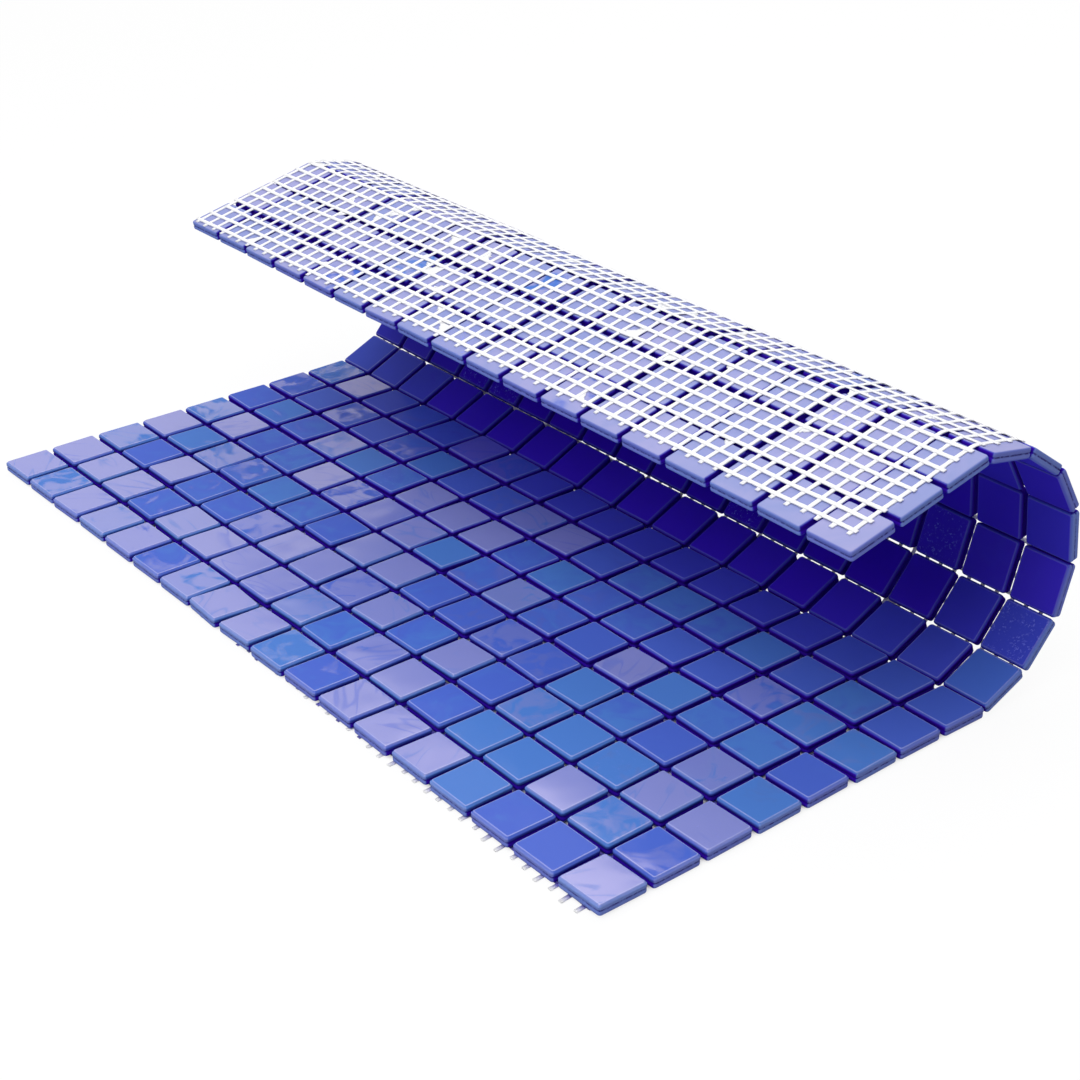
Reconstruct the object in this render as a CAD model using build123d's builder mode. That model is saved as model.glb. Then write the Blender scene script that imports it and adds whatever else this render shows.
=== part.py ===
"""A sheet of glass mosaic tiles on a glass-fibre net, lying face up with one end curled over.

Millimetres, +Z up. X runs across the sheet and Y along it, towards the curl. The origin is on the
floor, under the middle of the part that lies flat.
"""

import os
from math import atan, cos, degrees, radians, sin

from build123d import *

# Glass tile
tile_side = 15.2
tile_thickness = 3.2
face_bevel = 0.6
back_bevel = 0.4

# Sheet: tiles across and along, and the joint that the net holds open between them
columns = 18
rows = 18
joint_width = 1.45

# Curl: rows that lie flat, rows that turn, and the room left between face edges on the inside
flat_rows = 8
curl_rows = 8
inner_edge_gap = 0.34

# Net of flat yarn: warps run along the sheet against the tile backs, wefts cross outside them
# Insets are from the edge of the tiles to the first yarn, the margin is the least at the other edge
net_pitch = 5.0
yarn_width = 1.3
yarn_thickness = 0.3
first_warp_inset = 2.5
first_weft_inset = 1.6
net_margin = 4.0
front_tail = 4.3
back_tail = 1.8
side_tail = 1.8

tile_pitch = tile_side + joint_width
sheet_width = columns * tile_pitch - joint_width
sheet_length = rows * tile_pitch - joint_width
warp_count = int((sheet_width - first_warp_inset - net_margin) / net_pitch) + 1
weft_count = int((sheet_length - first_weft_inset - net_margin) / net_pitch) + 1
half_joint = joint_width / 2
back_height = 2 * yarn_thickness
jam_height = tile_thickness - face_bevel
curl_turn = 2 * degrees(atan((joint_width - inner_edge_gap) / (2 * jam_height)))

# Places along the sheet are measured from the middle of the joint in front of the first row
first_weft = half_joint + first_weft_inset
weft_places = [first_weft + number * net_pitch for number in range(weft_count)]
origin_weft = round((flat_rows * tile_pitch / 2 - first_weft) / net_pitch)
front_y = -weft_places[origin_weft]
first_warp = first_warp_inset - sheet_width / 2
warp_places = [first_warp + number * net_pitch for number in range(warp_count)]


def row_angle(row):
    """Slope of a row of tiles, in degrees: flat, then one more turn for each row of the curl."""
    turns = min(max(row + 1 - flat_rows, 0), curl_rows)
    return turns * curl_turn


def along(angle, distance):
    """A step in Y and Z along a row with this slope."""
    return Vector(0, distance * cos(radians(angle)), distance * sin(radians(angle)))


# Joint middles at the tile backs, from the front of the first row to the end of the last
bends = [Vector(0, front_y, back_height)]
for row in range(rows):
    bends.append(bends[-1] + along(row_angle(row), tile_pitch))


def plane_on_back(place, depth, facing):
    """Plane at a place along the sheet, this deep behind the tile backs, facing 1 in or -1 out."""
    row = min(int(place // tile_pitch), rows - 1)
    angle = row_angle(row)
    inward = along(angle + 90, 1)
    point = bends[row] + along(angle, place - row * tile_pitch) - inward * depth
    return Plane(origin=point, x_dir=(1, 0, 0), z_dir=inward * facing)


def bend_behind(number, depth):
    """Where the planes of the rows on both sides of a joint meet, this deep behind the backs."""
    before = row_angle(max(number - 1, 0))
    after = row_angle(min(number, rows - 1))
    outward = along((before + after) / 2 - 90, 1)
    return bends[number] + outward * (depth / cos(radians(after - before) / 2))


def warp_outline(depth):
    """Points of a warp's side, this deep behind the tile backs: its front end, bends and back end."""
    length = weft_places[-1] + back_tail
    points = [plane_on_back(0, depth, 1).origin + along(0, first_weft - front_tail)]
    for number in range(flat_rows, flat_rows + curl_rows):
        points.append(bend_behind(number, depth))
    points.append(plane_on_back(length, depth, 1).origin)
    return [(point.Y, point.Z) for point in points]


os.makedirs("parts", exist_ok=True)

# Rows of tiles: flat square glass, bevelled round the face and round the back
for row in range(rows):
    row_plane = plane_on_back((row + 0.5) * tile_pitch, 0, 1)
    with BuildPart() as tile_row:
        with BuildSketch(row_plane):
            with GridLocations(tile_pitch, tile_pitch, columns, 1):
                Rectangle(tile_side, tile_side)
        extrude(amount=tile_thickness)
        faces_by_depth = tile_row.faces().sort_by(Axis(row_plane.origin, row_plane.z_dir))
        back_edges = faces_by_depth[:columns].edges()
        face_edges = faces_by_depth[-columns:].edges()
        chamfer(back_edges, length=back_bevel)
        chamfer(face_edges, length=face_bevel)
    name = f"tile_row_{row + 1:02d}"
    tile_row.part.label = name
    export_step(tile_row.part, f"parts/{name}.step")

# Warp yarns: flat strips that follow the tile backs round the curl
with BuildPart() as net_warps:
    with BuildSketch(*[Plane.YZ.offset(place - yarn_width / 2) for place in warp_places]):
        with BuildLine():
            Polyline(*warp_outline(0), *reversed(warp_outline(yarn_thickness)), close=True)
        make_face()
    extrude(amount=yarn_width)
net_warps.part.label = "net_warps"
export_step(net_warps.part, "parts/net_warps.step")

# Weft yarns: straight strips across the warps, which the sheet lies on
weft_left = warp_places[0] - side_tail
weft_right = warp_places[-1] + side_tail
with BuildPart() as net_wefts:
    with BuildSketch(*[plane_on_back(place, yarn_thickness, -1) for place in weft_places]):
        with Locations(((weft_left + weft_right) / 2, 0)):
            Rectangle(weft_right - weft_left, yarn_width)
    extrude(amount=yarn_thickness)
net_wefts.part.label = "net_wefts"
export_step(net_wefts.part, "parts/net_wefts.step")
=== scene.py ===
"""Looks of a sheet of glass mosaic tiles on a net, lying face up with one end curled over.

Metres, +Z up. X runs across the sheet and Y along it, towards the curl. Each row of tiles takes its
place from the frame, and the net follows the backs of the rows.
"""

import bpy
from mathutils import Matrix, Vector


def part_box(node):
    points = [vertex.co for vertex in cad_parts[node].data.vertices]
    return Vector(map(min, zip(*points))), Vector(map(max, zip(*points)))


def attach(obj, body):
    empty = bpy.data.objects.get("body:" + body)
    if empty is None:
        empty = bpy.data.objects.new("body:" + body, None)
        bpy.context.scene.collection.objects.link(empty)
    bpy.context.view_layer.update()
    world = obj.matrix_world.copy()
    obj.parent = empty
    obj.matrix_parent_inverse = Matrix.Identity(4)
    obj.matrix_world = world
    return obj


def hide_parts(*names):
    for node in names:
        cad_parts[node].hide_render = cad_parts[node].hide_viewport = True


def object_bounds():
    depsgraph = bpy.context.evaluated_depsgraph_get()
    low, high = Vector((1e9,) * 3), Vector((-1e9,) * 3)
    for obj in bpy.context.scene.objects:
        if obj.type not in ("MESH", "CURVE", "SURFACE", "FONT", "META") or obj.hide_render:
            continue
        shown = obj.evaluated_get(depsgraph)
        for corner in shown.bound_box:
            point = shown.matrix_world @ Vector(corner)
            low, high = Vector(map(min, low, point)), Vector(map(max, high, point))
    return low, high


bl_info = {
    "name": "Glass Mosaic Sheet",
    "version": (1, 0, 0),
    "blender": (4, 5, 0),
    "location": "3D View > Sidebar > Mosaic",
    "description": "Finishes a curled sheet of glass mosaic tiles and the net that holds them",
    "category": "Add Mesh",
}

from math import cos, pi, radians, sin

import bpy
import numpy as np
from bpy.props import FloatProperty, FloatVectorProperty, IntProperty, PointerProperty
from mathutils import Matrix, Vector

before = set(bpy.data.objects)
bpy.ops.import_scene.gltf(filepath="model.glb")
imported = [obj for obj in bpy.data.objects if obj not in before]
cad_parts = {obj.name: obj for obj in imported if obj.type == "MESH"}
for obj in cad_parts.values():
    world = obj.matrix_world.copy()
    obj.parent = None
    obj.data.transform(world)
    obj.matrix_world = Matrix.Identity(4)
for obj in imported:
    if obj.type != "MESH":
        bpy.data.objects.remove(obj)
cad_low, cad_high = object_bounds()

MM = 0.001
BODY = "root"
ACROSS = np.array((1.0, 0.0, 0.0))
WHITE = (1.0, 1.0, 1.0)

# The frame gives the rows and the size of a tile
row_names = sorted(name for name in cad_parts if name.startswith("tile_row_"))
row_count = len(row_names)
first_low, first_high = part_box(row_names[0])
second_low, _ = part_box(row_names[1])
tile_side = first_high[1] - first_low[1]
tile_thickness = first_high[2] - first_low[2]
sheet_width = first_high[0] - first_low[0]
tile_pitch = second_low[1] - first_low[1]
joint_width = tile_pitch - tile_side
column_count = round((sheet_width + joint_width) / tile_pitch)
sheet_length = row_count * tile_pitch - joint_width

# The frame gives the first and last warp, and how far warps and wefts reach
warp_low, warp_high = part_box("net_warps")
weft_low, weft_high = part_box("net_wefts")


def draw_start(name, description, default):
    """The start of a row of random draws, which a user may change."""
    return IntProperty(name=name, description=description, default=default)


def length(name, description, millimetres):
    """A length that a user may change, given in millimetres."""
    return FloatProperty(name=name, description=description, default=millimetres * MM, min=0.0,
                         precision=5, subtype="DISTANCE", unit="LENGTH")


def position(name, description, metres):
    """A place in the scene that a user may change, in metres."""
    return FloatVectorProperty(name=name, description=description, default=metres, size=3,
                               subtype="TRANSLATION", unit="LENGTH")


def turn(name, description, degrees):
    """An angle that a user may change, given in degrees."""
    return FloatProperty(name=name, description=description, default=radians(degrees), subtype="ANGLE")


def share(name, description, default):
    """A share from 0 to 1 that a user may change."""
    return FloatProperty(name=name, description=description, default=default, min=0.0, max=1.0)


def level(name, description, default):
    """A strength or power that a user may change."""
    return FloatProperty(name=name, description=description, default=default, min=0.0)


def colour(name, description, default):
    """A colour that a user may change, in linear light."""
    return FloatVectorProperty(name=name, description=description, default=default, size=3,
                               min=0.0, max=1.0, subtype="COLOR")


class MosaicGlass(bpy.types.PropertyGroup):
    """Sizes, unevenness and colours of the glass tiles."""

    seed: draw_start("Seed", "Start of the random draws for the tiles", 41)
    corner_radius: length("Corner radius", "Radius of a tile's corners, seen from above", 0.95)
    face_bevel: length("Face bevel", "Width and drop of the bevel round the face", 0.66)
    face_rim: length("Face rim", "Width of the strip inside that bevel where the face is flat", 0.2)
    back_radius: length("Back edge radius", "Radius of the edge round the back", 0.42)
    back_taper: length("Back taper", "How far the half behind the parting line is set in", 0.1)
    groove_depth: length("Groove depth", "Depth of the parting groove round the sides", 0.28)
    groove_width: length("Groove width", "Width of the parting groove", 0.6)
    groove_height: length("Groove height", "Height of the parting groove above the back", 1.5)
    groove_rough: length("Groove roughness", "How far the parting groove wanders in and out", 0.06)
    wave_height: length("Wave height", "Height of the waves that firing leaves in a face", 0.018)
    wave_length: length("Wave length", "Usual length of those waves", 11.0)
    size_spread: length("Size spread", "How much smaller a tile may be than its place", 0.22)
    shift_spread: length("Shift spread", "How far a tile may sit from the middle of its place", 0.26)
    yaw_spread: turn("Turn spread", "How far a tile may be turned in its place", 1.8)
    tilt_spread: turn("Tilt spread", "How far a tile may lean on the net", 0.55)
    curl_share: share("Spread in the curl", "Share of the unevenness left where tiles sit close", 0.4)
    film_front: share("Film at the front", "Share of the front tiles with a film on the face", 0.66)
    film_curl: share("Film at the curl", "Share of such tiles in the last flat rows", 0.02)
    film_left: share("Film at the left", "How much larger that share is at the left edge", 0.3)
    bare_back_share: share("Bare backs", "Share of the tiles with little film on the back", 0.08)
    pitted_share: share("Pitted tiles", "Share of the tiles with a pitted face", 0.06)
    pit_seed: draw_start("Pit seed", "Start of the random draw of pitted tiles", 864)
    azure: colour("Azure", "Glass without film, in its greener batch", (0.070, 0.188, 0.555))
    cobalt: colour("Cobalt", "Glass without film, in its bluer batch", (0.066, 0.126, 0.545))
    # The next two colours are painted shade laid into the glass: on faces inside the curl, and on sides
    # down the joints
    curl_shade_indigo: colour("Indigo", "Glass inside the curl", (0.040, 0.006, 0.520))
    joint: colour("Joint", "Glass down in the joints", (0.032, 0.005, 0.360))
    lilac: colour("Lilac", "Face under a thick film", (0.228, 0.258, 0.605))
    sheen: colour("Sheen", "What the film reflects", (1.000, 0.780, 0.770))
    pale: colour("Pale lilac", "Filmed back, in the greener batch", (0.245, 0.285, 0.560))
    rose: colour("Pale rose", "Filmed back, in the bluer batch", (0.322, 0.328, 0.590))
    # The groove crust colour is rough glass, darkened partly as painted shade of the groove
    groove_crust_and_shade: colour("Flash", "Rough glass in the parting groove", (0.050, 0.045, 0.240))
    # Rim is a painted highlight on the bevel next to the face, and painted light on the outer sides of the
    # sheet
    rim: colour("Rim", "Edge of a face, where the film is worn", (0.320, 0.365, 0.720))
    frost: colour("Frost", "Broken skin of the glass round the pits", (0.200, 0.240, 0.800))


class MosaicNet(bpy.types.PropertyGroup):
    """Sizes and colours of the net and of the glue on it."""

    seed: draw_start("Seed", "Start of the random draws for the net", 7)
    pitch: length("Pitch", "Distance from yarn to yarn", 5.0)
    yarn_width: length("Yarn width", "Width of a yarn between two crossings", 1.32)
    yarn_thickness: length("Yarn thickness", "Thickness of a yarn", 0.3)
    fusing: length("Fusing", "How far warps and wefts are pressed into each other", 0.14)
    first_weft_inset: length("First weft", "From the edge of the first tiles to the first weft", 1.6)
    skew: length("Skew", "How much further along the sheet the net lies at its left edge", 4.2)
    tail: length("Tail", "How far a warp runs on past the last weft", 2.2)
    flare: share("Flare", "How much a yarn widens where the coating gathers at a crossing", 0.2)
    flare_reach: length("Flare reach", "How far from a crossing a yarn is widened", 0.95)
    wander: length("Wander", "How far a yarn strays from its straight line", 0.2)
    cut_spread: length("Cut spread", "How unevenly the ends of the yarns are cut", 1.3)
    white: colour("White", "Coated yarn", (0.93, 0.93, 0.94))
    shade: colour("Shade", "Between the fibres of the yarn", (0.74, 0.75, 0.82))
    # Painted shade: the yarn's side that faces the flat tiles, seen down in their joints
    painted_joint_shade_colour: colour("Tint", "Yarn seen down in the joints of the flat tiles", (0.10, 0.09, 0.42))
    glue: colour("Glue", "Dried glue between the yarns", (0.86, 0.87, 0.93))
    glue_share: share("Glued cells", "Share of the cells of the net with glue in a corner", 0.05)
    glue_thickness: length("Glue thickness", "Thickness of a film of glue", 0.14)


class MosaicStage(bpy.types.PropertyGroup):
    """The camera, the floor and the light."""

    eye: position("Eye", "Where the camera stands", (0.43177, -0.30803, 0.29596))
    aim: position("Aim", "What the middle of the picture shows", (0.01786, 0.02208, 0.01365))
    roll: turn("Roll", "How far the camera leans to the left", -0.42)
    lens: level("Lens", "Focal length in millimetres on a 36 mm frame", 68.93)
    floor_size: length("Floor", "Side of the floor", 8000.0)
    floor_white: colour("Floor", "Floor as it is seen", (0.96, 0.96, 0.965))
    floor_dim: colour("Floor light", "Floor as it lights the sheet from below", (0.62, 0.62, 0.63))
    floor_glow: share("Floor glow", "Share of plain white in the floor near the sheet", 0.92)
    floor_near: length("Floor near", "How far from the sheet's middle the floor takes shadows", 500.0)
    floor_far: length("Floor far", "Where the floor is as white as the sky", 1500.0)
    sky_low: level("Low sky", "Soft light from the horizon", 0.06)
    sky_high: level("High sky", "Soft light from overhead", 0.62)
    key_place: position("Key lamp place", "Where the key lamp hangs", (0.12, -0.50, 0.88))
    key_power: level("Key lamp", "Power of the key lamp in watts", 8.0)
    fill_place: position("Fill lamp place", "Where the fill lamp hangs", (-0.25, 0.55, 0.80))
    fill_power: level("Fill lamp", "Power of the fill lamp in watts", 4.0)
    lamp_size: length("Lamp size", "Side of each lamp", 900.0)


def smooth_step(value):
    """0 below 0, 1 above 1 and a smooth rise between them."""
    value = np.clip(value, 0.0, 1.0)
    return value * value * (3.0 - 2.0 * value)


def unit(vectors):
    """The same directions with length one."""
    return vectors / np.linalg.norm(vectors, axis=-1, keepdims=True)


class SheetBack:
    """The backs of all rows as one surface, measured across and along the sheet and out behind it."""

    # How near a joint the way out turns, and the cosine above which a row counts as flat
    bend_reach = 1.2 * MM
    flat_cosine = 0.999

    def __init__(self):
        middles = []
        outwards = []
        for name in row_names:
            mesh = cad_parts[name].data
            points = np.empty(len(mesh.vertices) * 3)
            mesh.vertices.foreach_get("co", points)
            points = points.reshape(-1, 3)
            back = max(mesh.polygons, key=lambda polygon: polygon.area)
            outward = unit(np.array(back.normal))
            middle = (points.min(axis=0) + points.max(axis=0)) / 2
            along = np.cross(-outward, ACROSS)
            steps = (points - middle) @ along
            middle = middle + along * (steps.min() + steps.max()) / 2
            middle = middle + outward * ((np.array(back.center) - middle) @ outward)
            middles.append(middle)
            outwards.append(outward)
        self.middles = np.array(middles)
        self.outwards = np.array(outwards)
        self.alongs = np.cross(-self.outwards, ACROSS)
        half_turns = np.arccos(np.clip((self.outwards[1:] * self.outwards[:-1]).sum(axis=1), -1, 1)) / 2
        self.bridges = np.concatenate(([0.0], np.tan(half_turns) * joint_width / 2))
        self.is_flat = self.outwards @ self.outwards[0] > self.flat_cosine
        self.flat_count = int(self.is_flat.sum())

    def place(self, across, along, depth):
        """Points at these distances, with the way out behind the sheet and the way along it there."""
        across, along, depth = np.broadcast_arrays(across, along, depth)
        row = np.clip((along // tile_pitch).astype(int), 0, row_count - 1)
        joint = np.clip(np.rint(along / tile_pitch).astype(int), 1, row_count - 1)
        past = smooth_step((along - joint * tile_pitch) / (2 * self.bend_reach) + 0.5)[..., None]
        outward = unit(self.outwards[joint - 1] * (1 - past) + self.outwards[joint] * past)
        step = along - (row + 0.5) * tile_pitch
        point = self.middles[row] + self.alongs[row] * step[..., None] + ACROSS * across[..., None]
        near = np.clip(1 - abs(along - joint * tile_pitch) / self.bend_reach, 0, 1)
        depth = depth - self.bridges[joint] * near
        return point + outward * depth[..., None], outward, np.cross(-outward, ACROSS)


class Shapes:
    """Points, faces and marks of many small shapes, gathered into one mesh."""

    def __init__(self):
        self.points = []
        self.faces = []
        self.marks = {}
        self.count = 0

    def add(self, points, faces, **marks):
        """Adds one shape. A mark is a value or a vector for each of its points."""
        self.points.append(points)
        self.faces.extend([[number + self.count for number in face] for face in faces])
        for name, values in marks.items():
            self.marks.setdefault(name, []).append(values)
        self.count += len(points)

    def piece(self, name, material, slot):
        """The gathered shapes as one object that rides on the sheet, kept inside the CAD box."""
        if not self.points:
            raise RuntimeError(f"{name} has no shapes")
        points = np.clip(np.concatenate(self.points), cad_low, cad_high)
        mesh = bpy.data.meshes.new(name)
        mesh.from_pydata(points.tolist(), [], self.faces)
        mesh.shade_smooth()
        for mark, values in self.marks.items():
            values = np.concatenate(values)
            is_vector = values.ndim == 2
            attribute = mesh.attributes.new(mark, "FLOAT_VECTOR" if is_vector else "FLOAT", "POINT")
            attribute.data.foreach_set("vector" if is_vector else "value", values.ravel())
        mesh.materials.append(material)
        piece = bpy.data.objects.new(name, mesh)
        bpy.context.scene.collection.objects.link(piece)
        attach(piece, BODY)
        return piece


def tube_faces(ring_count, sides):
    """Faces of a closed tube whose points are given ring by ring."""
    faces = [list(range(sides))[::-1]]
    for ring in range(ring_count - 1):
        start = ring * sides
        for side in range(sides):
            after = (side + 1) % sides
            faces.append([start + side, start + after, start + sides + after, start + sides + side])
    faces.append(list(range((ring_count - 1) * sides, ring_count * sides)))
    return faces


class TileShape:
    """One tile's points ring by ring, from the middle of its back round its edge to that of its face."""

    # Points in a corner and a side, and how much a corner's radius shrinks as the outline is set in
    corner_steps = 4
    side_steps = 5
    corner_narrowing = 0.7

    # Rings within the back and within the face, as shares of their outlines
    back_scales = (0.55, 0.97)
    face_scales = (0.92, 0.76, 0.57, 0.38, 0.19)

    # Rings of the back's round edge: the angle, and how much each belongs to the back
    back_rings = ((0, -1.0), (pi / 4, -0.4), (pi / 2, 0.0))

    # Parting groove: share of the back's taper beside it, and its floor as shares of half its width
    groove_taper = 0.8
    groove_floor = (-0.45, 0.45)

    # Rings of the bevel: shares of its width and of its drop, and how much each belongs to the face
    bevel_rings = ((0.0, 1.0, 0.0), (0.03, 0.91, 0.0), (0.11, 0.81, 0.1), (0.64, 0.22, 0.5),
                   (0.76, 0.09, 0.75), (0.88, 0.02, 0.9), (1.0, 0.0, 0.9))

    # Waves: where they end and over what they fade, as shares of half a side, and their height
    face_waves = (0.88, 0.22, 1.0)
    back_waves = (0.90, 0.30, 0.5)

    def __init__(self, glass):
        self.half = tile_side / 2
        self.radius = glass.corner_radius
        self.lines = [np.zeros(1)]
        self.heights = [np.zeros(1)]
        self.face_marks = [np.array((-1.0,))]
        self.ring_count = 0
        back_inset = glass.back_taper + glass.back_radius
        back_line = self.outline(back_inset)
        self.ring_size = len(back_line)
        for scale in self.back_scales:
            self.add_ring(back_line * scale, 0.0, -1.0)
        for angle, face in self.back_rings:
            inset = back_inset - glass.back_radius * sin(angle)
            self.add_ring(self.outline(inset), glass.back_radius * (1 - cos(angle)), face)
        groove = glass.groove_width / 2
        beside_groove = self.outline(glass.back_taper * self.groove_taper)
        self.add_ring(beside_groove, glass.groove_height - groove, 0.0)
        self.groove_rings = (self.ring_count, self.ring_count + 1)
        for step in self.groove_floor:
            self.add_ring(self.outline(glass.groove_depth), glass.groove_height + groove * step, 0.0)
        self.add_ring(self.outline(0.0), glass.groove_height + groove, 0.0)
        for inward, drop, face in self.bevel_rings:
            height = tile_thickness - glass.face_bevel * drop
            self.add_ring(self.outline(glass.face_bevel * inward), height, face)
        face_line = self.outline(glass.face_bevel + glass.face_rim)
        self.add_ring(face_line, tile_thickness, 1.0)
        for scale in self.face_scales:
            self.add_ring(face_line * scale, tile_thickness, 1.0)
        line = np.concatenate(self.lines + [np.zeros(1)])
        heights = np.concatenate(self.heights + [np.full(1, tile_thickness)])
        self.face_mark = np.concatenate(self.face_marks + [np.ones(1)])
        self.points = np.column_stack((line.real, line.imag, heights))
        self.faces = self.ring_faces()
        edge = np.maximum(abs(line.real), abs(line.imag)) / self.half
        self.wave_share = np.zeros(len(line))
        for side, (end, fade, wave) in ((1, self.face_waves), (-1, self.back_waves)):
            on_side = self.face_mark * side > 0.5
            self.wave_share += smooth_step((end - edge) / fade) * wave * on_side
        self.groove_mark = np.zeros(len(line))
        for ring in self.groove_rings:
            self.groove_mark[self.ring_slice(ring)] = 1.0

    def add_ring(self, line, height, face):
        """One more ring at this height, marked -1 on the back, 0 on the sides and 1 on the face."""
        self.lines.append(line)
        self.heights.append(np.full(self.ring_size, height))
        self.face_marks.append(np.full(self.ring_size, face))
        self.ring_count += 1

    def outline(self, inset):
        """A square with round corners, this far in from the tile's sides, as complex numbers in order."""
        radius = self.radius - inset * self.corner_narrowing
        reach = self.half - inset - radius
        corners = []
        for quarter in range(4):
            angles = np.linspace(0, pi / 2, self.corner_steps + 1) + quarter * pi / 2
            centre = complex(reach, reach) * 1j ** quarter
            corners.append(centre + radius * np.exp(1j * angles))
        line = []
        for corner, following in zip(corners, corners[1:] + corners[:1]):
            steps = np.arange(1, self.side_steps) / self.side_steps
            line.append(corner)
            line.append(corner[-1] + (following[0] - corner[-1]) * steps)
        return np.concatenate(line)

    def ring_faces(self):
        """Faces between the rings, with a fan at the middle of the back and of the face."""
        size = self.ring_size
        last = 1 + self.ring_count * size
        faces = []
        for side in range(size):
            after = (side + 1) % size
            faces.append([0, 1 + after, 1 + side])
            for ring in range(self.ring_count - 1):
                low = 1 + ring * size
                faces.append([low + side, low + after, low + size + after, low + size + side])
            top = last - size
            faces.append([top + side, top + after, last])
        return faces

    def ring_slice(self, ring):
        """Where the points of a ring are."""
        start = 1 + ring * self.ring_size
        return slice(start, start + self.ring_size)


# Unevenness: waves round a groove, lengths and strength of a face's waves, and share of the size spread
GROOVE_WAVES = (3, 5, 8, 13)
FACE_WAVES = (0.7, 1.0, 1.5)
WAVE_STRENGTH = (0.5, 1.4)
SHRINKING = (0.1, 1.0)


def uneven_tile(shape, glass, draw, spread):
    """One tile with its own waves, groove and size, lying a little turned and tilted in its place."""
    points = shape.points.copy()
    u, v, height = points.T
    around = np.arange(shape.ring_size) / shape.ring_size * 2 * pi
    for ring in shape.groove_rings:
        inset = np.zeros(shape.ring_size)
        for order in GROOVE_WAVES:
            inset += np.sin(around * order + draw.uniform(0, 2 * pi)) * glass.groove_rough / 2
        points[shape.ring_slice(ring), :2] *= (1 - inset / shape.half)[:, None]
    waves = np.zeros(len(points))
    for stretch in FACE_WAVES:
        heading = draw.uniform(0, 2 * pi)
        phase = draw.uniform(0, 2 * pi)
        travel = (u * cos(heading) + v * sin(heading)) / (glass.wave_length * stretch)
        waves += np.sin(travel * 2 * pi + phase) * stretch
    height += waves * glass.wave_height * shape.wave_share * draw.uniform(*WAVE_STRENGTH)
    size = 1 - draw.uniform(*SHRINKING) * spread * glass.size_spread / tile_side
    yaw = draw.normal(0, glass.yaw_spread / 2) * spread
    lean_u, lean_v = draw.normal(0, glass.tilt_spread, 2) * spread
    reach = glass.shift_spread
    shift = np.clip(draw.normal(0, reach / 2, 2), -reach, reach) * spread
    height += (u * lean_u + v * lean_v) + (abs(lean_u) + abs(lean_v)) * shape.half
    turned_u = (u * cos(yaw) - v * sin(yaw)) * size + shift[0]
    turned_v = (u * sin(yaw) + v * cos(yaw)) * size + shift[1]
    return np.column_stack((turned_u, turned_v, height))


# Painted shade, counted in tiles: how far light comes in at an open end, how far ahead of the curl the
# shade starts, how much later it starts at an open end, and over how many rows the curl and the joints
# darken
END_REACH = 3.5
DARK_AHEAD = 2.6
DARK_DELAY = 1.5
DARK_ROWS = 3
JOINT_ROWS = 5

# Shares: where an outer side starts, how much less painted shade open ends and outer sides get, how much
# of the bevel stays light, how much sooner closed joints darken, and how strong pits are on the flat rows
OUTER_START = 0.94
END_LIGHT = 0.15
OUTER_LIGHT = 0.8
BEVEL_LIGHT = 0.6
JOINT_DARK = 2
FLAT_PITS = 0.3

# Least and most film: on filmed and clear faces, on faces in the curl, and on bare and other backs
FILMED_FACE = (0.48, 1.1)
CLEAR_FACE = (0.0, 0.45)
CURL_FACE = (0.0, 0.2)
BARE_BACK = (0.52, 0.7)
FILMED_BACK = (0.75, 1.0)

# Flat rows beside the curl that have the least film
CLEAR_ROWS = 3


def open_sides(shape, row, column):
    """One where a tile's side is an outer side of the sheet, zero where it stands in a joint."""
    u, v, _ = shape.points.T
    reach = shape.half * OUTER_START
    outer = np.zeros(len(u), dtype=bool)
    for number, count, way in ((column, column_count, u), (row, row_count, v)):
        outer |= (number == 0) & (way < -reach)
        outer |= (number == count - 1) & (way > reach)
    return outer.astype(float)


def painted_curl_shade(row, column, flat_count):
    """Painted shade on a tile's face by how far into the curl it lies: less near the open ends, where light
    comes in.
    """
    middle = (column_count - 1) / 2
    open_end = smooth_step((abs(column - middle) - middle + END_REACH) / END_REACH)
    rows_in = row - flat_count + DARK_AHEAD - DARK_DELAY * open_end
    return smooth_step(rows_in / DARK_ROWS) * (1 - END_LIGHT * open_end)


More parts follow.
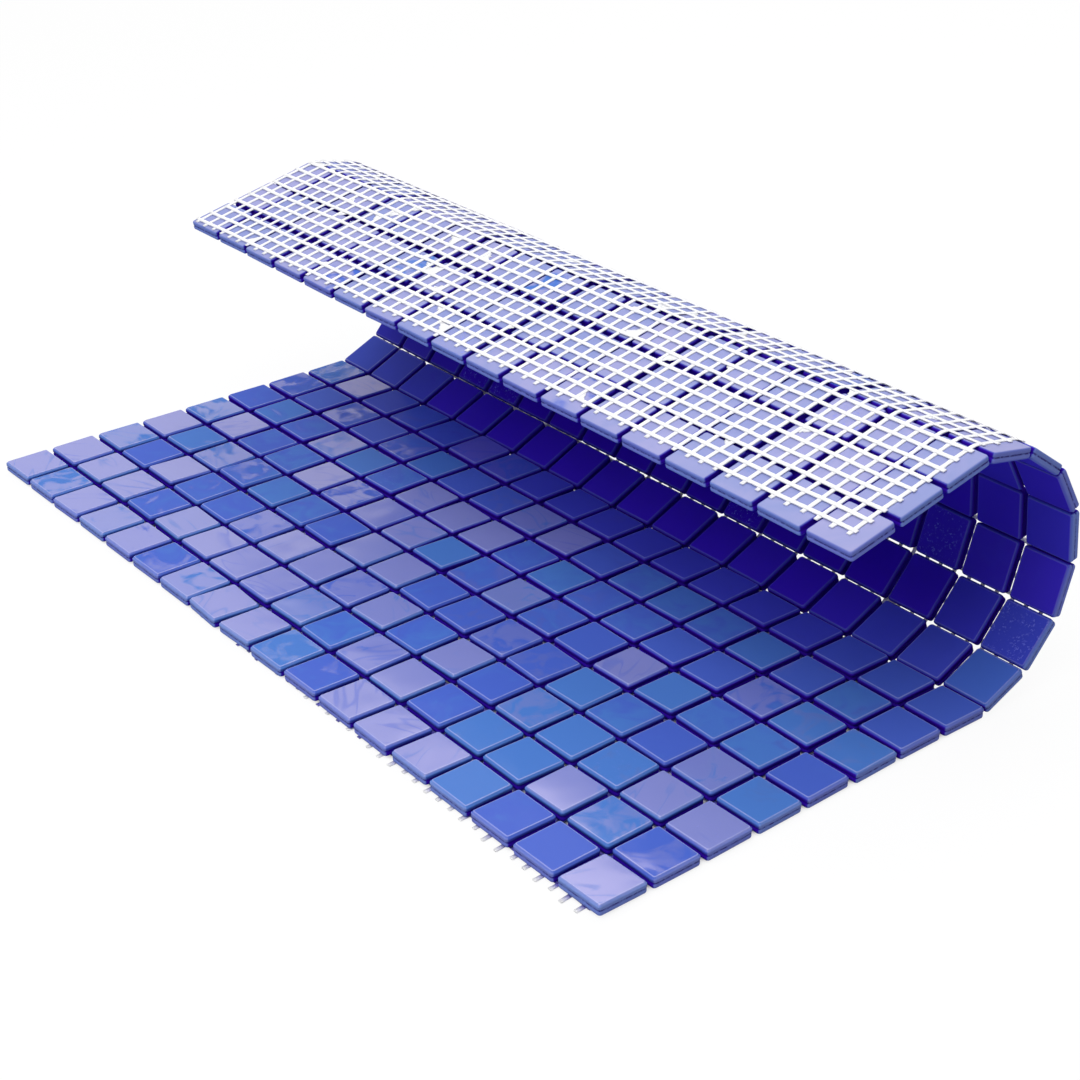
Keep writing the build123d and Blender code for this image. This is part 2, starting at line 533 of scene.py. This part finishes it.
def tile_marks(shape, glass, draw, row, column, flat_count, pits):
    """What a tile's points carry for the material: its pattern, film, tone, pits, face and painted shade.
    """
    count = len(shape.points)
    u, v, height = shape.points.T
    swirl = draw.uniform(0, 2 * pi)
    pattern = np.column_stack((
        u * cos(swirl) - v * sin(swirl) + draw.uniform(0, 1),
        u * sin(swirl) + v * cos(swirl) + draw.uniform(0, 1),
        height + draw.uniform(0, 1),
    ))
    is_flat = row < flat_count
    film_rows = (0, flat_count - CLEAR_ROWS)
    film_share = np.interp(row, film_rows, (glass.film_front, glass.film_curl))
    film_share += glass.film_left * (1 - column / (column_count - 1))
    is_filmed = is_flat and draw.uniform() < film_share
    clear = CLEAR_FACE if is_flat else CURL_FACE
    face_film = draw.uniform(*(FILMED_FACE if is_filmed else clear))
    is_bare = draw.uniform() < glass.bare_back_share
    back_film = draw.uniform(*(BARE_BACK if is_bare else FILMED_BACK))
    tone = draw.uniform()
    outer = open_sides(shape, row, column)
    # Painted shade down a tile's sides: darker further from the face, sooner in closed joints, less on
    # outer sides
    shut_in = smooth_step((row - 1) / JOINT_ROWS)
    drop = tile_thickness - height - BEVEL_LIGHT * glass.face_bevel * (1 - shut_in)
    shade_down_the_side = smooth_step(drop / glass.groove_height * (1 + JOINT_DARK * shut_in))
    side_painted_shade = shade_down_the_side * (1 - OUTER_LIGHT * outer)
    on_face = np.clip(shape.face_mark, 0.0, 1.0)
    on_side = 1 - abs(shape.face_mark)
    return {
        "tile_place": pattern,
        "film": np.where(shape.face_mark < 0, back_film, face_film),
        "tone": np.full(count, tone),
        "pits": np.full(count, pits * (FLAT_PITS if is_flat else 1.0)),
        "face": shape.face_mark,
        "outer": on_side * outer,
        "groove": shape.groove_mark * outer,
        # Painted shade: on faces inside the curl, and down the sides in the joints
        "painted_shade": on_face * painted_curl_shade(row, column, flat_count) + on_side * side_painted_shade,
    }


def build_glass_rows(glass):
    """All rows of tiles, each row one piece in the place of its CAD row."""
    backs = SheetBack()
    shape = TileShape(glass)
    material = glass_material(glass)
    pit_draw = np.random.default_rng(glass.pit_seed).uniform(size=(row_count, column_count))
    pits = (pit_draw < glass.pitted_share) * (1 - pit_draw / glass.pitted_share / 2)
    for row, node in enumerate(row_names):
        draw = np.random.default_rng(glass.seed + row)
        is_flat = bool(backs.is_flat[row])
        gathered = Shapes()
        for column in range(column_count):
            tile = uneven_tile(shape, glass, draw, 1.0 if is_flat else glass.curl_share)
            across = (column - (column_count - 1) / 2) * tile_pitch
            places = backs.middles[row] + np.outer(across + tile[:, 0], ACROSS)
            places += np.outer(tile[:, 1], backs.alongs[row]) - np.outer(tile[:, 2], backs.outwards[row])
            marks = tile_marks(shape, glass, draw, row, column, backs.flat_count, pits[row, column])
            gathered.add(places, shape.faces, **marks)
        piece = gathered.piece(f"glass_row_{row + 1:02d}", material, "glass")
        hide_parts(node)


# A yarn's section: shares of its width, and of its thickness counted outward
YARN_SECTION = np.array(((-0.5, -0.4), (-0.4, 0.5), (0.4, 0.5), (0.5, -0.4)))

# A yarn's stray: lengths of its waves in metres, and their strength
STRAY_WAVES = (0.024, 0.052, 0.12, 0.3)
STRAY_STRENGTH = (0.2, 0.6)

# Least way from a yarn's end to the next section and from section to section, and spread of its width
END_STEP = 0.3 * MM
LEAST_STEP = 0.25 * MM
WIDTH_SPREAD = 0.045

# How much more the cut front of the warps is skewed, share of the cut spread at far ends, droop of tails
FRONT_SKEW = 1.3
FAR_CUT = 0.4
TAIL_DROOP = 0.12

# Where the yarns' patterns lie: that of the first weft, and the steps from warp to warp and weft to weft
WEFT_PATTERN = 100
WARP_STEP = 0.37
WEFT_STEP = 0.61


def wander(draw, distance, reach):
    """A slow sideways stray along a yarn, from a few long waves."""
    stray = np.zeros_like(distance)
    for wave in STRAY_WAVES:
        stray += np.sin(distance / wave * 2 * pi + draw.uniform(0, 2 * pi)) * draw.uniform(*STRAY_STRENGTH)
    return stray * reach


def yarn_stations(start, end, crossings, reach, corners):
    """Distances along a yarn where its section is drawn: beside and between crossings, and at bends."""
    pitch = crossings[1] - crossings[0]
    stations = np.concatenate((crossings - reach, crossings + reach, crossings + pitch / 2, corners))
    stations = np.sort(stations[(stations > start + END_STEP) & (stations < end - END_STEP)])
    stations = stations[np.diff(stations, prepend=start) > LEAST_STEP]
    return np.concatenate(([start], stations, [end]))


def yarn_widths(draw, stations, crossings, net):
    """Width of a yarn at its stations: uneven, and wider where the coating gathers at a crossing."""
    near = abs(stations[:, None] - crossings[None, :]).min(axis=1)
    gather = np.exp(-((near / net.flare_reach) ** 2))
    return net.yarn_width * (1 + net.flare * gather + draw.normal(0, WIDTH_SPREAD, len(stations)))


class NetLayout:
    """Where the warps and wefts of the net run."""

    def __init__(self, net, backs):
        middle_warp = (warp_low[0] + warp_high[0]) / 2
        reach = (warp_high[0] - warp_low[0]) / 2 // net.pitch
        self.warps = middle_warp + np.arange(-reach, reach + 1) * net.pitch
        first_weft = joint_width / 2 + net.first_weft_inset
        weft_count = int((sheet_length - net.first_weft_inset) / net.pitch)
        self.wefts = first_weft + np.arange(weft_count) * net.pitch
        self.warp_start = tile_pitch / 2 - (first_low[1] + tile_side / 2 - warp_low[1])
        self.warp_end = self.wefts[-1] + net.tail
        self.weft_start = weft_low[0]
        self.weft_end = weft_high[0]
        self.bends = np.arange(1, row_count) * tile_pitch
        self.skew = net.skew / (self.weft_end - self.weft_start)
        self.sheet_front = joint_width / 2
        self.flat_end = backs.flat_count * tile_pitch

    def skewed(self, across):
        """How much further along the sheet the net lies here than at its right edge."""
        return (self.weft_end - across) * self.skew

    def covered(self, along):
        """True where the flat tiles lie over the net."""
        return (along > self.sheet_front) & (along < self.flat_end)


def add_yarn(gathered, centres, sideways, outward, widths, thickness, distance, pattern, covered):
    """One yarn as a closed tube of flat section. Covered is true where a flat tile lies over it."""
    rings = (
        centres[:, None, :]
        + sideways[:, None, :] * (YARN_SECTION[None, :, :1] * widths[:, None, None])
        + outward[:, None, :] * (YARN_SECTION[None, :, 1:] * thickness)
    )
    sides = len(YARN_SECTION)
    place = np.empty((len(centres), sides, 3))
    place[:, :, 0] = distance[:, None]
    place[:, :, 1] = YARN_SECTION[None, :, 0] * widths[:, None]
    place[:, :, 2] = pattern
    # Painted shade on the side of the yarn that faces the tiles, where flat tiles lie over it
    tinted = covered[:, None] * (YARN_SECTION[None, :, 1] < 0)
    gathered.add(rings.reshape(-1, 3), tube_faces(len(centres), sides), yarn_place=place.reshape(-1, 3),
                 tinted=tinted.astype(float).ravel())


def build_net(net):
    """The net: warps along the sheet against the tile backs, and wefts across them outside."""
    backs = SheetBack()
    layout = NetLayout(net, backs)
    draw = np.random.default_rng(net.seed)
    gathered = Shapes()
    for number, across in enumerate(layout.warps):
        skewed = layout.skewed(across)
        crossings = layout.wefts + skewed
        start = layout.warp_start + skewed * FRONT_SKEW + draw.uniform(0, net.cut_spread)
        end = layout.warp_end + skewed - draw.uniform(0, net.cut_spread) * FAR_CUT
        stations = yarn_stations(start, end, crossings, net.flare_reach, layout.bends)
        widths = yarn_widths(draw, stations, crossings, net)
        stray = across + wander(draw, stations, net.wander)
        droop = np.clip(layout.sheet_front - stations, 0, None) * TAIL_DROOP
        centres, outward, _ = backs.place(stray, stations, net.yarn_thickness / 2 + droop)
        sideways = np.broadcast_to(ACROSS, centres.shape)
        covered = layout.covered(stations)
        add_yarn(gathered, centres, sideways, outward, widths, net.yarn_thickness, stations,
                 number * WARP_STEP, covered)
    for number, along in enumerate(layout.wefts):
        start = layout.weft_start + draw.uniform(0, net.cut_spread)
        end = layout.weft_end - draw.uniform(0, net.cut_spread) * FAR_CUT
        stations = yarn_stations(start, end, layout.warps, net.flare_reach, np.array([]))
        widths = yarn_widths(draw, stations, layout.warps, net)
        stray = along + layout.skewed(stations) + wander(draw, stations, net.wander)
        centres, outward, sideways = backs.place(stations, stray, net.yarn_thickness * 1.5 - net.fusing)
        covered = layout.covered(stray)
        add_yarn(gathered, centres, -sideways, outward, widths, net.yarn_thickness, stations,
                 number * WEFT_STEP + WEFT_PATTERN, covered)
    piece = gathered.piece("net", yarn_material(net), "net")
    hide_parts("net_warps", "net_wefts")
    glue = build_glue(net, backs, layout)
    width = layout.weft_end - layout.weft_start
    reach = layout.warp_end - layout.warp_start
    yarn_length = len(layout.warps) * reach + len(layout.wefts) * width
    yarn_length * net.yarn_width


# A film of glue: points of its front, least, usual and most size as shares of a cell, how ragged and
# how hollow its front is, how far it reaches past the cell's edge, and its gap to the tiles
GLUE_POINTS = 7
GLUE_SIZES = (0.25, 0.5, 1.6)
GLUE_RAGGED = 0.12
GLUE_HOLLOW = 0.25
GLUE_OVERLAP = 0.1 * MM
GLUE_GAP = 0.02 * MM


def build_glue(net, backs, layout):
    """Films of dried glue that fill a corner of some cells of the net."""
    draw = np.random.default_rng(net.seed + 1)
    gathered = Shapes()
    opening = net.pitch - net.yarn_width
    fan = np.linspace(0, pi / 2, GLUE_POINTS)
    for along in layout.wefts[:-1]:
        for across in layout.warps[:-1]:
            if draw.uniform() > net.glue_share:
                continue
            size = opening * draw.triangular(*GLUE_SIZES)
            front = size * (1 + draw.normal(0, GLUE_RAGGED, len(fan)))
            front *= 1 - GLUE_HOLLOW * np.sin(fan * 2)
            side_u, side_v = draw.choice((-1, 1), 2)
            reach = opening / 2 + GLUE_OVERLAP
            u = np.clip(np.concatenate(([0], front * np.cos(fan))) - reach, -reach, reach) * side_u
            v = np.clip(np.concatenate(([0], front * np.sin(fan))) - reach, -reach, reach) * side_v
            middle_u = across + net.pitch / 2
            middle_v = along + net.pitch / 2 + layout.skewed(across + net.pitch / 2)
            low, _, _ = backs.place(middle_u + u, middle_v + v, GLUE_GAP)
            high, _, _ = backs.place(middle_u + u, middle_v + v, net.glue_thickness)
            count = len(u)
            order = list(range(count)) if side_u * side_v > 0 else list(range(count))[::-1]
            faces = [order, [number + count for number in order[::-1]]]
            for here, after in zip(order, order[1:] + order[:1]):
                faces.append([after, here, here + count, after + count])
            place = np.column_stack((middle_u + u, middle_v + v, np.zeros(count)))
            gathered.add(np.concatenate((low, high)), faces, yarn_place=np.concatenate((place, place)))
    return gathered.piece("glue_films", glue_material(net), "net")


class Shade:
    """A socket's value on its way through a material. Sums with a number add Math nodes."""

    def __init__(self, finish, socket):
        self.finish = finish
        self.socket = socket

    def math(self, operation, first, second=0.0):
        """This operation on one or two values, of which one is this number."""
        sockets = {"Value": first, "Value_001": second}
        return self.finish.node("ShaderNodeMath", {"operation": operation}, sockets)

    def __add__(self, other):
        return self.math("ADD", self, other)

    def __sub__(self, other):
        return self.math("SUBTRACT", self, other)

    def __rsub__(self, other):
        return self.math("SUBTRACT", other, self)

    def __mul__(self, other):
        return self.math("MULTIPLY", self, other)

    __radd__ = __add__
    __rmul__ = __mul__

    def __abs__(self):
        return self.math("ABSOLUTE", self)

    def capped(self):
        """No more than one."""
        return self.math("MINIMUM", self, 1.0)


class Finish:
    """The nodes of one material or of the world."""

    def __init__(self, owner):
        owner.use_nodes = True
        self.nodes = owner.node_tree.nodes
        self.links = owner.node_tree.links
        self.nodes.clear()

    def feed(self, socket, value):
        """Links a socket to a shade, or sets it to a number, a vector or a colour."""
        if isinstance(value, Shade):
            self.links.new(value.socket, socket)
        elif socket.type == "RGBA":
            socket.default_value = (*value, 1.0)
        else:
            socket.default_value = value

    def node(self, kind, settings, sockets, output=None):
        """A node of this kind, with its settings set first and then its sockets, by identifier."""
        made = self.nodes.new(kind)
        for name, value in settings.items():
            setattr(made, name, value)
        inputs = {socket.identifier: socket for socket in made.inputs}
        for name, value in sockets.items():
            self.feed(inputs[name], value)
        for socket in made.outputs:
            if output in (None, socket.identifier):
                return Shade(self, socket)

    def mark(self, name, output="Fac"):
        """A mark that the mesh carries, as a number or a vector."""
        return self.node("ShaderNodeAttribute", {"attribute_name": name}, {}, output)

    def part(self, vector, axis):
        """One of the three numbers of a vector."""
        return self.node("ShaderNodeSeparateXYZ", {}, {"Vector": vector}, axis)

    def noise(self, place, scale, detail=2.0, roughness=0.5, distortion=0.0):
        """Cloudy noise from 0 to 1, where scale is about the number of patches to the metre."""
        sockets = {"Vector": place, "Scale": scale, "Detail": detail, "Roughness": roughness,
                   "Distortion": distortion}
        return self.node("ShaderNodeTexNoise", {}, sockets)

    def ramp(self, value, low, high):
        """A smooth rise from 0 at low to 1 at high."""
        sockets = {"Value": value, "From Min": low, "From Max": high}
        return self.node("ShaderNodeMapRange", {"interpolation_type": "SMOOTHSTEP"}, sockets)

    def patches(self, place, scale, low, high, **noise):
        """Noise that is cut to patches with soft edges: 0 below low and 1 above high."""
        return self.ramp(self.noise(place, scale, **noise), low, high)

    def mix(self, amount, first, second):
        """A colour between two colours."""
        sockets = {"Factor_Float": amount, "A_Color": first, "B_Color": second}
        return self.node("ShaderNodeMix", {"data_type": "RGBA"}, sockets, "Result_Color")

    def stretched(self, place, factors):
        """A place with its three directions scaled."""
        sockets = {"Vector": place, "Vector_001": factors}
        return self.node("ShaderNodeVectorMath", {"operation": "MULTIPLY"}, sockets)

    def bump(self, height, distance, strength):
        """A surface normal from a height, where distance is what a height of one stands for."""
        sockets = {"Height": height, "Distance": distance, "Strength": strength}
        return self.node("ShaderNodeBump", {}, sockets)

    def principled(self, sockets):
        """The main shader."""
        return self.node("ShaderNodeBsdfPrincipled", {}, sockets)

    def mixed(self, amount, first, second):
        """A shader between two shaders."""
        return self.node("ShaderNodeMixShader", {}, {"Fac": amount, "Shader": first, "Shader_001": second})

    def seen_ray(self):
        """One for rays that show the surroundings: from the eye, in gloss and through glass."""
        rays = ("Is Camera Ray", "Is Glossy Ray", "Is Transmission Ray")
        eye, gloss, through = [self.node("ShaderNodeLightPath", {}, {}, ray) for ray in rays]
        return (eye + gloss + through).capped()

    def surface(self, shader, kind="ShaderNodeOutputMaterial"):
        """Ends the nodes in their output."""
        self.node(kind, {}, {"Surface": shader})


def glass_material(glass):
    """Cobalt glass with a thin lilac film that lies on it in wavy patches, and pits on a few tiles."""
    material = bpy.data.materials.new("cobalt_glass")
    finish = Finish(material)
    place = finish.mark("tile_place", "Vector")
    film = finish.mark("film")
    face = finish.mark("face")
    painted_shade = finish.mark("painted_shade")
    groove = finish.mark("groove")
    flat = abs(face)
    back = finish.ramp(face, -0.2, -0.9)

    # Film: cloudy patches, crossed by thin lines on parts of the faces
    clouds = finish.noise(place, 105.0, detail=3.0, distortion=1.3)
    drawn_out = finish.stretched(place, (45.0, 190.0, 45.0))
    streaks = finish.noise(drawn_out, 1.0, detail=1.0, roughness=0.4, distortion=0.5)
    streaked = finish.patches(place, 32.0, 0.46, 0.58) * (1 - back)
    line = (1 - finish.ramp(abs(streaks - 0.5), 0.0, 0.05)) * streaked
    patch = finish.ramp(film + (clouds - 0.5) * 1.1, 0.38, 0.60)
    filmed = patch * (1 - line * 0.4) * flat
    thick = filmed * finish.ramp(film, 0.25, 0.8)

    # Colour: two batches of glass, film on face and back, a painted rim highlight, painted shade of curl
    # and joints
    # A band on the bevel next to the face: a painted highlight in the colour, and more gloss
    rim = finish.ramp(face, 0.45, 0.85) - finish.ramp(face, 0.9, 1.0)
    batch = finish.ramp(finish.mark("tone") + (clouds - 0.5) * 0.8, 0.25, 0.75)
    bare = finish.mix(batch, glass.azure, glass.cobalt)
    faced = finish.mix(thick, bare, glass.lilac)
    hazed = finish.mix(batch * 0.6 + finish.ramp(streaks, 0.35, 0.65) * 0.4, glass.pale, glass.rose)
    backed = finish.mix(filmed * back, faced, hazed)
    # Painted highlight on the rims, and painted light on the outer sides of the sheet
    edged = finish.mix(rim * 0.6 + finish.mark("outer") * 0.4, backed, glass.rim)
    # Painted shade of the curl and the joints: the joint colour on the sides, the curl colour on the faces
    painted_shade_colour = finish.mix(flat, glass.joint, glass.curl_shade_indigo)
    smooth = finish.mix(painted_shade, edged, painted_shade_colour)

    # Broken skin: a crust in the groove, its colour partly painted shade of the groove, and swirls of grit
    # on the pitted tiles
    crust = groove * finish.patches(place, 900.0, 0.35, 0.6, roughness=0.6, distortion=0.3)
    swirl = finish.patches(place, 260.0, 0.48, 0.6, detail=3.0, roughness=0.6, distortion=2.5)
    grit = finish.patches(place, 1400.0, 0.52, 0.64, roughness=0.6, distortion=0.5)
    pitted = finish.mark("pits") * swirl * grit * flat
    frosted = finish.mix(pitted * 0.7, smooth, glass.frost)
    base = finish.mix(crust, frosted, glass.groove_crust_and_shade)

    # Gloss: the mirror of the film and the rim, over glass with hardly any, and little where the painted
    # shade lies
    waves = finish.noise(place, 210.0, distortion=0.6)
    relief = finish.bump(waves * 0.12 - pitted, 0.12 * MM, 0.5)
    clear = finish.principled({
        "Base Color": base,
        "Roughness": 0.5,
        "Specular IOR Level": 0.0,
        "Normal": relief,
    })
    iridescent = finish.principled({
        "Base Color": base,
        "Roughness": 0.13 + clouds * 0.08 + pitted * 0.3 + crust * 0.4,
        "IOR": 1.75,
        "Specular Tint": glass.sheen,
        "Normal": relief,
    })
    gloss = (0.12 + filmed * 0.88 + rim * 0.4).capped() * (1 - back * 0.85) * (1 - painted_shade * 0.94)
    shader = finish.mixed(gloss, clear, iridescent)
    finish.surface(shader)
    return material


def yarn_material(net):
    """Coated glass-fibre yarn: white and matt, with fine fibres along it, and painted shade where it faces
    the flat tiles.
    """
    material = bpy.data.materials.new("coated_yarn")
    finish = Finish(material)
    place = finish.mark("yarn_place", "Vector")
    fibres = finish.noise(finish.stretched(place, (260.0, 5200.0, 1.0)), 1.0, roughness=0.55)
    lumps = finish.noise(finish.stretched(place, (900.0, 900.0, 1.0)), 1.0)
    dull = finish.ramp(fibres * 0.6 + lumps * 0.4, 0.62, 0.36) * 0.3
    dry = finish.mix(dull, net.white, net.shade)
    shader = finish.principled({
        # Painted shade on the yarn where it faces the flat tiles
        "Base Color": finish.mix(finish.mark("tinted"), dry, net.painted_joint_shade_colour),
        "Roughness": 0.55 + fibres * 0.25,
        "IOR": 1.45,
        "Subsurface Weight": 0.4,
        "Subsurface Radius": WHITE,
        "Subsurface Scale": 0.8 * MM,
        "Normal": finish.bump(fibres + lumps * 0.5, 0.05 * MM, 0.5),
    })
    finish.surface(shader)
    return material


def glue_material(net):
    """Dried glue: a milky film, thin in places."""
    material = bpy.data.materials.new("dried_glue")
    finish = Finish(material)
    place = finish.mark("yarn_place", "Vector")
    milk = finish.noise(place, 520.0, detail=3.0, roughness=0.55, distortion=0.5)
    shader = finish.principled({
        "Base Color": finish.mix(milk, net.glue, net.white),
        "Roughness": 0.3 + milk * 0.3,
        "IOR": 1.46,
        "Alpha": finish.ramp(milk, 0.1, 0.5) * 0.4 + 0.6,
        "Normal": finish.bump(milk, 0.08 * MM, 0.5),
    })
    finish.surface(shader)
    return material


# The floor's gap to the sheet, the camera's frame in millimetres, and the nearest that it sees in metres
FLOOR_GAP = 0.05 * MM
SENSOR_WIDTH = 36.0
NEAREST = 0.01


def floor_material(stage):
    """Pale floor that looks white where no shadow falls on it, and is dim under the flat rows."""
    material = bpy.data.materials.new("pale_floor")
    finish = Finish(material)
    place = finish.node("ShaderNodeTexCoord", {}, {}, "Object")
    across = abs(finish.part(place, "X"))
    along = finish.part(place, "Y")
    front = first_low[1]
    back = front + SheetBack().flat_count * tile_pitch
    edge = joint_width * 3
    half = sheet_width / 2
    # Painted shade: under the flat rows the floor shows its dim colour to every ray, and no white glow
    covered = finish.ramp(across, half, half - edge) * finish.ramp(along, front, front + edge)
    covered = covered * finish.ramp(along, back, back - edge)
    seen = finish.seen_ray()
    grain = finish.noise(place, 60.0, detail=3.0)
    pale = finish.mix(grain * 0.02, stage.floor_white, WHITE)
    matt = finish.principled({
        "Base Color": finish.mix(seen * (1 - covered), stage.floor_dim, pale),
        "Roughness": 0.9,
        "Specular IOR Level": 0.0,
    })
    away = finish.node("ShaderNodeVectorMath", {"operation": "LENGTH"}, {"Vector": place}, "Value")
    white = stage.floor_glow + finish.ramp(away, stage.floor_near, stage.floor_far) * (1 - stage.floor_glow)
    glow = finish.node("ShaderNodeEmission", {}, {"Color": WHITE, "Strength": 1.0})
    finish.surface(finish.mixed(seen * (1 - covered) * white, matt, glow))
    return material


def light_world(stage):
    """Soft sky that lights the sheet from overhead, and looks white where it is seen."""
    world = bpy.data.worlds.new("studio")
    finish = Finish(world)
    direction = finish.node("ShaderNodeTexCoord", {}, {}, "Generated")
    height = finish.part(direction, "Z")
    strength = stage.sky_low + finish.ramp(height, 0.0, 1.0) * (stage.sky_high - stage.sky_low)
    soft = finish.node("ShaderNodeBackground", {}, {"Color": WHITE, "Strength": strength})
    plain = finish.node("ShaderNodeBackground", {}, {"Color": WHITE, "Strength": 1.0})
    finish.surface(finish.mixed(finish.seen_ray(), soft, plain), "ShaderNodeOutputWorld")
    bpy.context.scene.world = world


def build_floor(stage):
    """A large flat floor just under the sheet."""
    half = stage.floor_size / 2
    mesh = bpy.data.meshes.new("floor")
    corners = [(-half, -half, 0), (half, -half, 0), (half, half, 0), (-half, half, 0)]
    mesh.from_pydata(corners, [], [(0, 1, 2, 3)])
    mesh.materials.append(floor_material(stage))
    floor = bpy.data.objects.new("floor", mesh)
    floor.location.z = cad_low[2] - FLOOR_GAP
    bpy.context.scene.collection.objects.link(floor)


def build_lamp(name, place, power, size):
    """A wide soft lamp that looks at the sheet."""
    data = bpy.data.lights.new(name, "AREA")
    data.shape = "SQUARE"
    data.size = size
    data.energy = power
    lamp = bpy.data.objects.new(name, data)
    lamp.location = place
    lamp.rotation_euler = (-lamp.location).to_track_quat("-Z", "Y").to_euler()
    bpy.context.scene.collection.objects.link(lamp)


def build_camera(stage):
    """The camera at the photograph's place."""
    data = bpy.data.cameras.new("camera")
    data.sensor_width = SENSOR_WIDTH
    data.lens = stage.lens
    data.clip_start = NEAREST
    camera = bpy.data.objects.new("camera", data)
    camera.location = stage.eye
    heading = Vector(stage.aim) - Vector(stage.eye)
    upright = heading.to_track_quat("-Z", "Y").to_matrix()
    camera.rotation_euler = (upright @ Matrix.Rotation(stage.roll, 3, "Z")).to_euler()
    bpy.context.scene.collection.objects.link(camera)
    bpy.context.scene.camera = camera


class MOSAIC_OT_glass_rows(bpy.types.Operator):
    """Make the rows of glass tiles"""

    bl_idname = "mosaic.glass_rows"
    bl_label = "Glass rows"

    def execute(self, context):
        build_glass_rows(context.scene.mosaic_glass)
        return {"FINISHED"}


class MOSAIC_OT_net(bpy.types.Operator):
    """Make the net that holds the tiles, with the glue on it"""

    bl_idname = "mosaic.net"
    bl_label = "Net"

    def execute(self, context):
        build_net(context.scene.mosaic_net)
        return {"FINISHED"}


class MOSAIC_OT_stage(bpy.types.Operator):
    """Make the floor, the light and the camera"""

    bl_idname = "mosaic.stage"
    bl_label = "Stage"

    def execute(self, context):
        stage = context.scene.mosaic_stage
        build_floor(stage)
        build_lamp("key_lamp", stage.key_place, stage.key_power, stage.lamp_size)
        build_lamp("fill_lamp", stage.fill_place, stage.fill_power, stage.lamp_size)
        build_camera(stage)
        light_world(stage)
        context.scene.view_settings.view_transform = "Standard"
        return {"FINISHED"}


class MOSAIC_PT_sheet(bpy.types.Panel):
    """Lists the steps that make the sheet, each with its settings"""

    bl_idname = "MOSAIC_PT_sheet"
    bl_label = "Glass mosaic sheet"
    bl_space_type = "VIEW_3D"
    bl_region_type = "UI"
    bl_category = "Mosaic"

    def draw(self, context):
        for operator, (name, group) in zip(operators, groups.items()):
            box = self.layout.box()
            box.operator(operator.bl_idname)
            for setting in group.__annotations__:
                box.prop(getattr(context.scene, name), setting)


groups = {"mosaic_glass": MosaicGlass, "mosaic_net": MosaicNet, "mosaic_stage": MosaicStage}
operators = (MOSAIC_OT_glass_rows, MOSAIC_OT_net, MOSAIC_OT_stage)
classes = (*groups.values(), *operators, MOSAIC_PT_sheet)


def register():
    """Adds the settings, the steps and the panel."""
    for item in classes:
        bpy.utils.register_class(item)
    for name, group in groups.items():
        setattr(bpy.types.Scene, name, PointerProperty(type=group))


def unregister():
    """Takes them out again."""
    for name in groups:
        delattr(bpy.types.Scene, name)
    for item in reversed(classes):
        bpy.utils.unregister_class(item)


def main():
    """Makes every piece in order."""
    register()
    bpy.ops.mosaic.glass_rows()
    bpy.ops.mosaic.net()
    bpy.ops.mosaic.stage()


if __name__ == "__main__":
    main()
